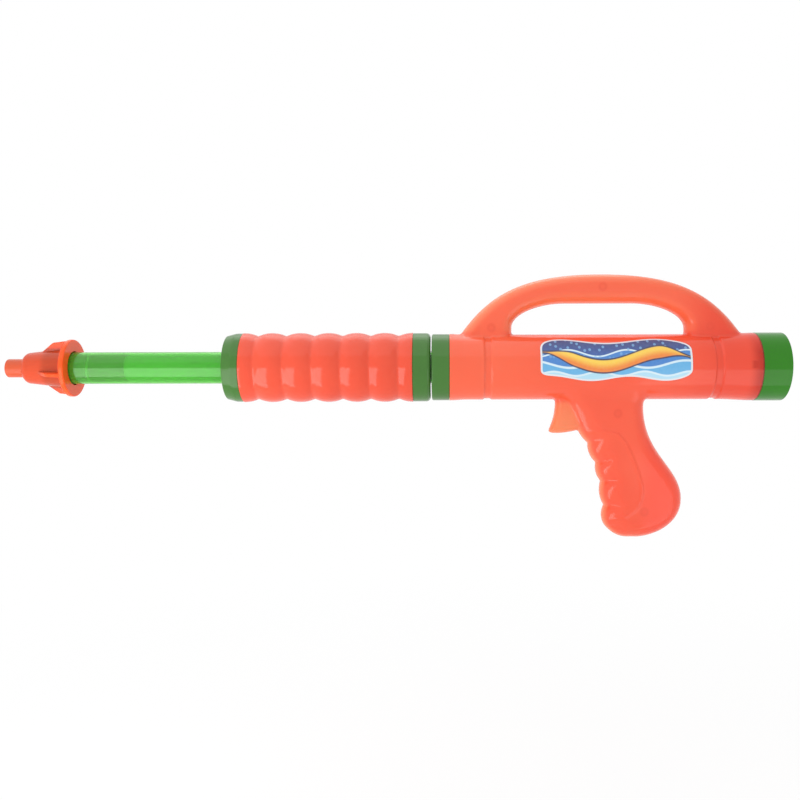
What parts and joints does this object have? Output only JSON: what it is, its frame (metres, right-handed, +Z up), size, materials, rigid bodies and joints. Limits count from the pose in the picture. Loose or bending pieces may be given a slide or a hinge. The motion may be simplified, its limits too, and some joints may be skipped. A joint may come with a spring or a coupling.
{
  "type": "water squirter",
  "caption": "Pump-action water squirter: tubular body with carrying handle and pistol grip, sliding ribbed fore-grip on a clear pump tube, finned nozzle.",
  "frame": {"origin": "centre of the rear cap's flat face, on the barrel axis", "axes": "+X along the barrel away from the nozzle, +Z up towards the carrying handle, the label on the -Y side"},
  "size_m": [0.5785, 0.0518, 0.1964],
  "materials": {
    "orange_plastic": "slightly translucent orange moulding, glossy",
    "green_cap": "opaque green moulding, glossy",
    "clear_green": "translucent green extruded tube, glossy",
    "white_plastic": "plain white moulding, satin",
    "grey_plastic": "plain grey moulding, satin",
    "seal_rubber": "pale natural rubber, greased",
    "screw_steel": "zinc-plated self-tapping screws",
    "label_film": null
  },
  "bodies": {
    "body": {"body_shell_left": "orange_plastic", "body_shell_right": "orange_plastic", "case_screws": "screw_steel", "front_collar": "green_cap", "rear_cap": "green_cap", "side_label": "label_film"},
    "rod": {"rod_anchor": "white_plastic", "piston_rod": "white_plastic", "piston_head": "grey_plastic", "piston_seal": "seal_rubber"},
    "pump": {"pump_cylinder": "clear_green", "cylinder_stop_disc": "white_plastic", "foregrip_sleeve": "orange_plastic", "foregrip_front_cap": "green_cap", "foregrip_rear_cap": "green_cap", "nozzle": "orange_plastic"}
  },
  "joints": [
    {"name": "rod_spin", "type": "hinge", "parent": "body", "child": "rod", "pos_m": [0, 0, 0], "axis": [1, 0, 0], "continuous": true},
    {"name": "pump_slide", "type": "slide", "parent": "rod", "child": "pump", "axis": [-1, 0, 0], "range_m": [0, 0.15]}
  ]
}
